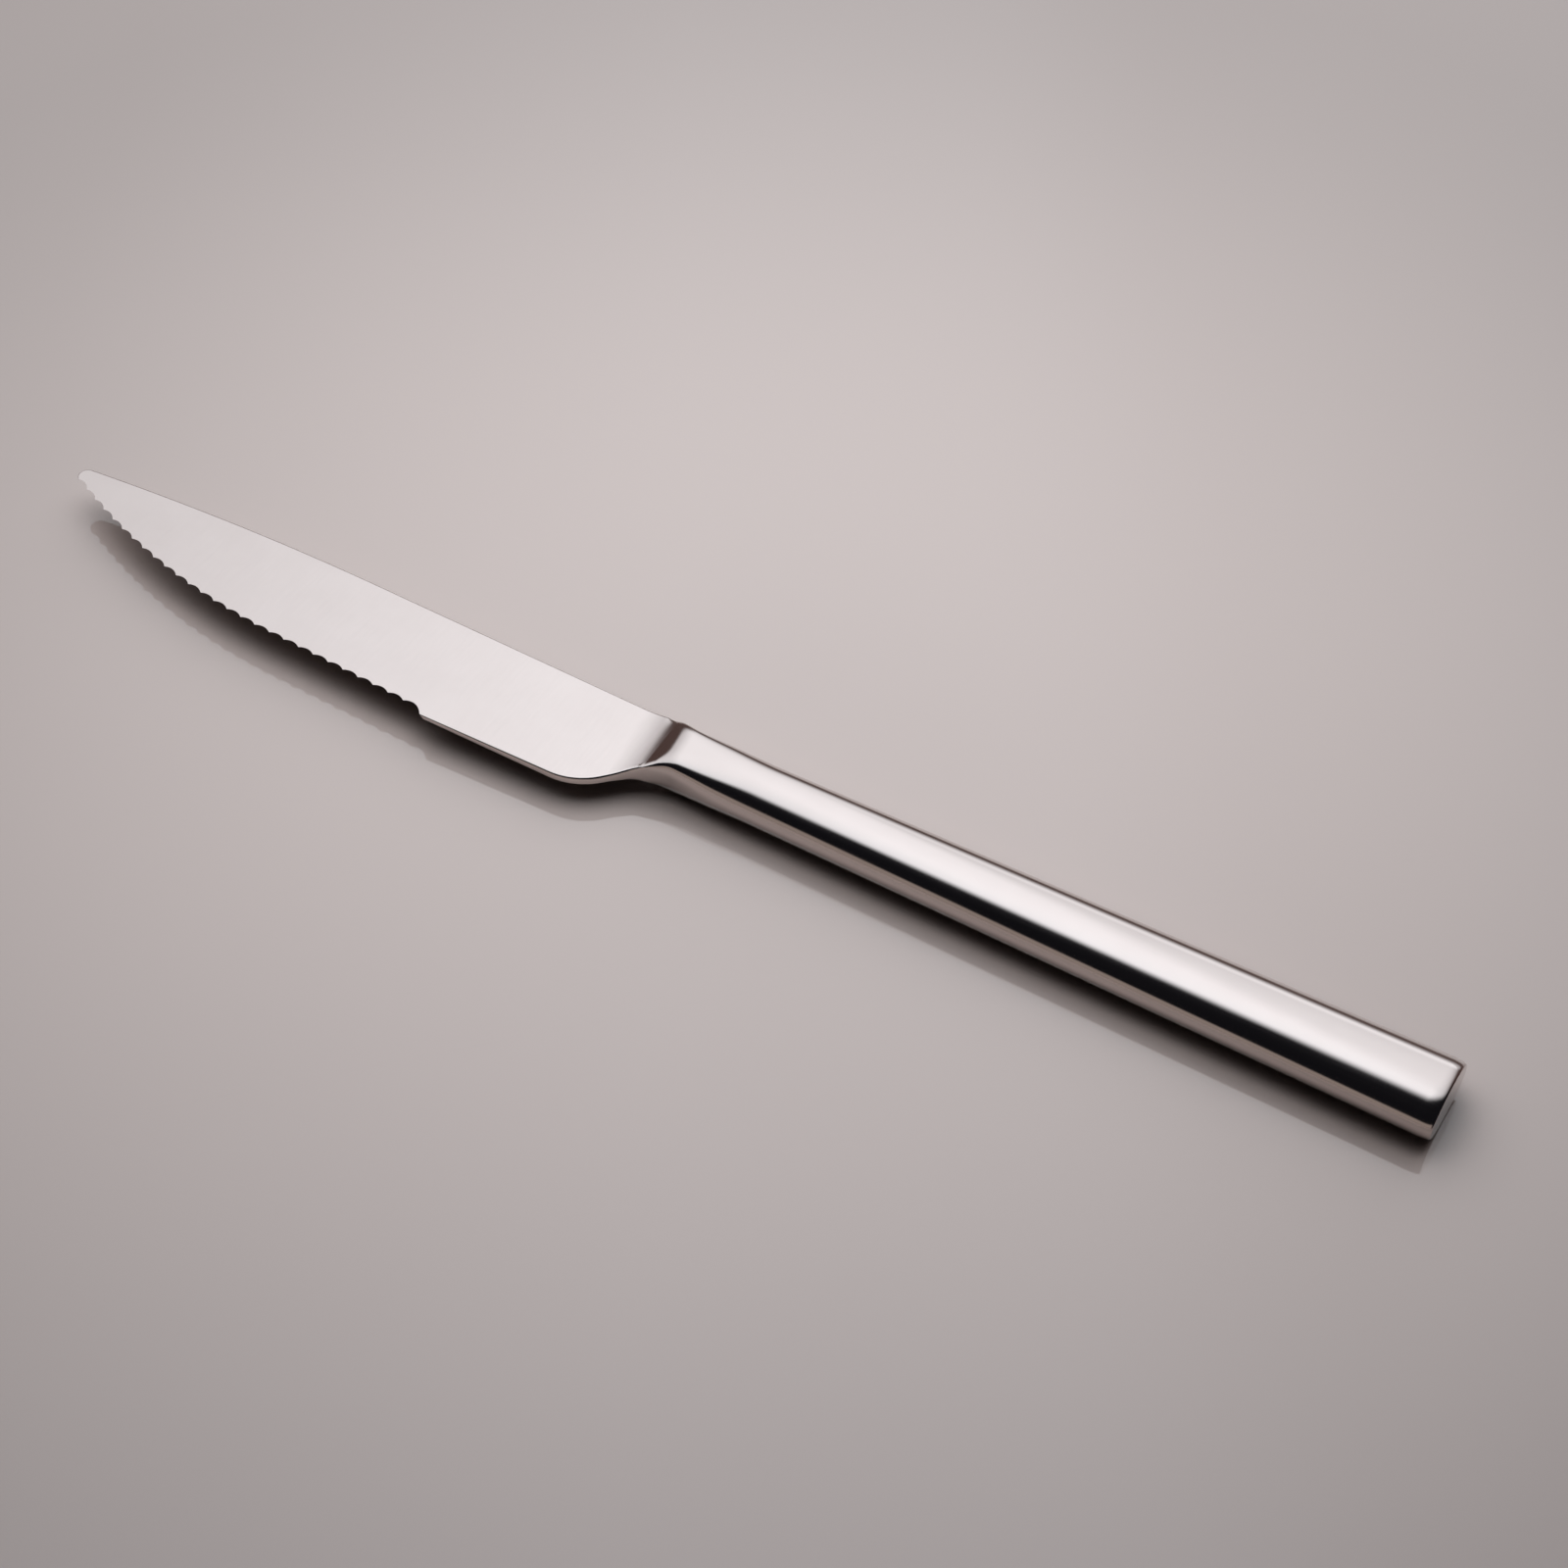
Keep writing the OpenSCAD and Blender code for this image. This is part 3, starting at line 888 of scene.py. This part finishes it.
def cement_finish():
    material, tree, shader = finish("tang cement")
    grains = noise(tree, *cement_grains)
    cloud_share = spread(tree, noise(tree, *cement_clouds), *cement_cloud_shares)
    tone_share = add_math(tree, "MULTIPLY", cloud_share, spread(tree, grains, *cement_grain_shares))
    feed(tree, blend_colour(tree, tone_share, *cement_tones), shader.inputs["Base Color"])
    feed(tree, spread(tree, grains, *cement_roughness), shader.inputs["Roughness"])
    raise_grain(tree, shader, grains, cement_depth, cement_depth_share)
    return material


# The knife's pieces

handle_steel = steel_finish("polished handle steel", handle_streaks, handle_roughness)
blade_steel = steel_finish("satin blade steel", blade_streaks, blade_roughness)

blade = blade_blank(blade_steel)
carve(blade, tang_tool(blade_steel, 0), "UNION")
grind_teeth(blade, blade_steel)

bolster = bolster_piece(handle_steel)
butt = butt_piece(handle_steel)

shell_sizes = {
    "Front": shell_x * mm,
    "Rear": cap_x * mm,
    "Front width": 2 * taper_w(shell_x) * mm,
    "Rear width": 2 * taper_w(cap_x) * mm,
    "Thickness": handle_t * mm,
    "Roundness": float(section_power),
    "Rows": shell_rows,
    "Points": shell_points,
    "Side": 1.0,
}
half_shell = shell_tree(shell_sizes)
upper_shell = handle_shell("handle_upper_shell", 1.0, half_shell, shell_sizes, handle_steel)
lower_shell = handle_shell("handle_lower_shell", -1.0, half_shell, shell_sizes, handle_steel)
for shell in (upper_shell, lower_shell):
    true_skin(shell)

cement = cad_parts["tang_cement"]
cement.data.materials.clear()
cement.data.materials.append(cement_finish())

for piece, node, slot in (
    (blade, "blade", "blade_steel"),
    (bolster, "bolster", "handle_steel"),
    (upper_shell, "upper_shell", "handle_steel"),
    (lower_shell, "lower_shell", "handle_steel"),
    (butt, "butt_cap", "handle_steel"),
):
    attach(piece, "root")
    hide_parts(node)


# Camera, from the photograph's viewpoint

view_azimuth = math.radians(30.70)
view_elevation = math.radians(47.79)
view_roll = math.radians(0.17)
view_distance = 418.2
view_target = Vector((-44.76, 6.73, 0))
view_lens = 65.16
view_sensor = 36
view_clip = 1

facing = Vector((
    math.sin(view_azimuth) * math.cos(view_elevation),
    -math.cos(view_azimuth) * math.cos(view_elevation),
    math.sin(view_elevation),
))
level = Vector((math.cos(view_azimuth), math.sin(view_azimuth), 0))
upright = facing.cross(level)
right = math.cos(view_roll) * level + math.sin(view_roll) * upright
up = math.cos(view_roll) * upright - math.sin(view_roll) * level
camera_data = bpy.data.cameras.new("camera")
camera_data.lens = view_lens
camera_data.sensor_width = view_sensor
camera_data.clip_start = view_clip * mm
camera = add_object("camera", camera_data)
turn = Matrix((right, up, facing)).transposed().to_4x4()
camera.matrix_world = Matrix.Translation((view_target + view_distance * facing) * mm) @ turn
scene.camera = camera


# Stage: a pale table, a soft light overhead and a dim room

# Table: its colour carries a painted pool of light, even near the middle of the picture and dimmer towards
# its rim
floor_half = 3000
painted_light_even_r = 37
painted_light_dim_r = 241
table_and_painted_falloff_tones = ((0.934, 0.787, 0.726), (0.545, 0.459, 0.423))
table_cloud_share = 0.03
table_roughness = 0.01
table_ior = 1.75
# Painted contact shade: how near the knife has to be, how open the spot is, and the light left there
painted_contact_shade_l = 8
painted_shade_open_shares = (0.25, 0.95)
painted_shade_light_shares = (0.2, 1.0)


def table_finish():
    """A pale table whose colour carries a painted pool of light that falls off round the knife, and painted
    contact shade close beside it.
    """
    material, tree, shader = finish("pale table")
    clouds = noise(tree, *table_clouds)
    spot = add_node(tree, "ShaderNodeTexCoord").outputs["Object"]
    away = add_node(tree, "ShaderNodeVectorMath", {
        0: spot, 1: view_target * mm,
    }, operation="DISTANCE").outputs["Value"]
    # Painted pool of light: the table's colour dims with distance from the middle of the picture
    painted_falloff_share = ramp_up(tree, away, painted_light_even_r * mm, painted_light_dim_r * mm)
    tone_share = add_math(tree, "MULTIPLY_ADD", clouds, table_cloud_share, painted_falloff_share)
    pale = blend_colour(tree, tone_share, *table_and_painted_falloff_tones)
    # Painted contact shade: the table's colour darkens where the knife closes a spot in
    open_share = add_node(tree, "ShaderNodeAmbientOcclusion", {"Distance": painted_contact_shade_l * mm}).outputs["AO"]
    painted_shade_share = ramp_up(tree, open_share, *painted_shade_open_shares, *painted_shade_light_shares)
    shaded = add_node(tree, "ShaderNodeVectorMath", {
        0: pale, "Scale": painted_shade_share,
    }, operation="SCALE").outputs[0]
    feed(tree, shaded, shader.inputs["Base Color"])
    shader.inputs["Roughness"].default_value = table_roughness
    shader.inputs["IOR"].default_value = table_ior
    return material


floor_mesh = bpy.data.meshes.new("table")
floor_mesh.from_pydata(
    [(x * floor_half * mm, y * floor_half * mm, 0) for x, y in ((-1, -1), (1, -1), (1, 1), (-1, 1))],
    [], [(0, 1, 2, 3)])
floor_mesh.materials.append(table_finish())
floor = add_object("table", floor_mesh)


# Soft light over the table, laid out across and ahead of the part's origin as the camera faces it
light_left = -600
light_right = 700
light_near = -90
light_far = 1500
light_height = 350
light_level = 1.42
light_colour = (0.946, 1.0, 1.053)
# Where the light fades in, fades out, or drops to a share of its level
near_fade = (-72, 16)
depth_dim = (60, 1340)
depth_dim_share = 0.6
far_fade = (700, 1500)
left_fade = (-580, -380)
left_dim = (-300, -75)
left_dim_share = 0.68
right_dim = (30, 130)
right_dim_share = 0.83
# Slanting fades of the far left corner and the near right corner
far_left_slant = -3.0
far_left_fade = (1700, 2700)
near_right_slant = -0.6
near_right_fade = (30, 420)


def overhead_light():
    data = bpy.data.lights.new("overhead_light", "AREA")
    data.shape = "RECTANGLE"
    data.size = (light_right - light_left) * mm
    data.size_y = (light_far - light_near) * mm
    # The power at which a strength of 1 shows as white
    data.energy = math.pi * data.size * data.size_y
    data.use_nodes = True
    tree = data.node_tree
    tree.nodes.clear()
    spot = add_node(tree, "ShaderNodeNewGeometry").outputs["Parametric"]
    split = add_node(tree, "ShaderNodeSeparateXYZ", {"Vector": spot}).outputs
    across = add_math(tree, "MULTIPLY_ADD", split["X"], light_right - light_left, light_left)
    ahead = add_math(tree, "MULTIPLY_ADD", split["Y"], light_far - light_near, light_near)
    far_left = add_math(tree, "MULTIPLY_ADD", across, far_left_slant, ahead)
    near_right = add_math(tree, "MULTIPLY_ADD", ahead, near_right_slant, across)
    strength = light_level
    for fade in (
        ramp_up(tree, ahead, *near_fade),
        ramp_up(tree, ahead, *depth_dim, 1.0, depth_dim_share, "LINEAR"),
        ramp_down(tree, ahead, *far_fade),
        ramp_up(tree, across, *left_fade),
        ramp_up(tree, across, *left_dim, left_dim_share, 1.0, "LINEAR"),
        ramp_up(tree, across, *right_dim, 1.0, right_dim_share),
        ramp_down(tree, far_left, *far_left_fade),
        ramp_down(tree, near_right, *near_right_fade),
    ):
        strength = add_math(tree, "MULTIPLY", fade, strength)
    glow = add_node(tree, "ShaderNodeEmission", {
        "Color": (*light_colour, 1), "Strength": strength,
    }).outputs[0]
    feed(tree, glow, add_node(tree, "ShaderNodeOutputLight").inputs["Surface"])
    lamp = add_object("overhead_light", data)
    middle = Vector(((light_left + light_right) / 2, (light_near + light_far) / 2, light_height)) * mm
    lamp.matrix_world = Matrix.Rotation(view_azimuth, 4, "Z") @ Matrix.Translation(middle)
    lamp.visible_camera = False


overhead_light()


# Dim room. Aims are degrees from the camera's right towards its far side, and degrees up.
# A reach is the cosine to the aim where a wall starts and where it is full. A rise or a fall holds
# the sines of the elevations between which a wall fades in or out.
far_wall_colour = (0.088, 0.056, 0.048)
far_wall_aim = (90, 0)
far_wall_reach = (-0.1, 0.5)
near_wall_colour = (0.007, 0.007, 0.009)
bright_aim = (66, 12)
bright_reach = (0.90, 0.978)
bright_rise = (0.05, 0.26)
bright_fall = (0.26, 0.48)
bright_level = 0.62
near_rim_colour = (0.31, 0.262, 0.236)
near_rim_aim = (-150, 0)
near_rim_reach = (0.3, 0.6)
near_rim_fall = (0.18, 0.30)
backdrop_colour = (0.80, 0.77, 0.76)


def room_direction(across, elevation):
    turn = math.radians(across) + view_azimuth
    rise = math.radians(elevation)
    return (math.cos(turn) * math.cos(rise), math.sin(turn) * math.cos(rise), math.sin(rise))


def room_light():
    world = bpy.data.worlds.new("room")
    scene.world = world
    world.use_nodes = True
    tree = world.node_tree
    tree.nodes.clear()
    look = add_node(tree, "ShaderNodeTexCoord").outputs["Generated"]

    def towards(aim, reach):
        nearness = add_node(tree, "ShaderNodeVectorMath", {
            0: look, 1: room_direction(*aim),
        }, operation="DOT_PRODUCT").outputs["Value"]
        return ramp_up(tree, nearness, *reach)

    def background(colour, strength):
        return add_node(tree, "ShaderNodeBackground", {
            "Color": (*colour, 1), "Strength": strength,
        }).outputs[0]

    def together(a, b):
        return add_node(tree, "ShaderNodeAddShader", {0: a, 1: b}).outputs[0]

    height = add_node(tree, "ShaderNodeSeparateXYZ", {"Vector": look}).outputs["Z"]
    ray = add_node(tree, "ShaderNodeLightPath").outputs
    far_wall = background(far_wall_colour, towards(far_wall_aim, far_wall_reach))
    near_wall = background(near_wall_colour, 1.0)
    low_band = add_math(tree, "MULTIPLY", ramp_up(tree, height, *bright_rise, 0.0, bright_level),
                        ramp_down(tree, height, *bright_fall))
    bright_side = add_math(tree, "MULTIPLY", towards(bright_aim, bright_reach), low_band)
    bright_wall = background(light_colour, bright_side)
    # The pale rim of the near side shows only in what mirrors it
    near_side = add_math(tree, "MULTIPLY", towards(near_rim_aim, near_rim_reach), ray["Is Glossy Ray"])
    near_low = add_math(tree, "MULTIPLY", near_side, ramp_down(tree, height, *near_rim_fall))
    near_rim = background(near_rim_colour, near_low)
    room = together(together(far_wall, near_wall), together(bright_wall, near_rim))
    backdrop = background(backdrop_colour, 1.0)
    seen = add_node(tree, "ShaderNodeMixShader", {0: ray["Is Camera Ray"], 1: room, 2: backdrop}).outputs[0]
    feed(tree, seen, add_node(tree, "ShaderNodeOutputWorld").inputs["Surface"])


room_light()

scene.view_settings.view_transform = "Standard"
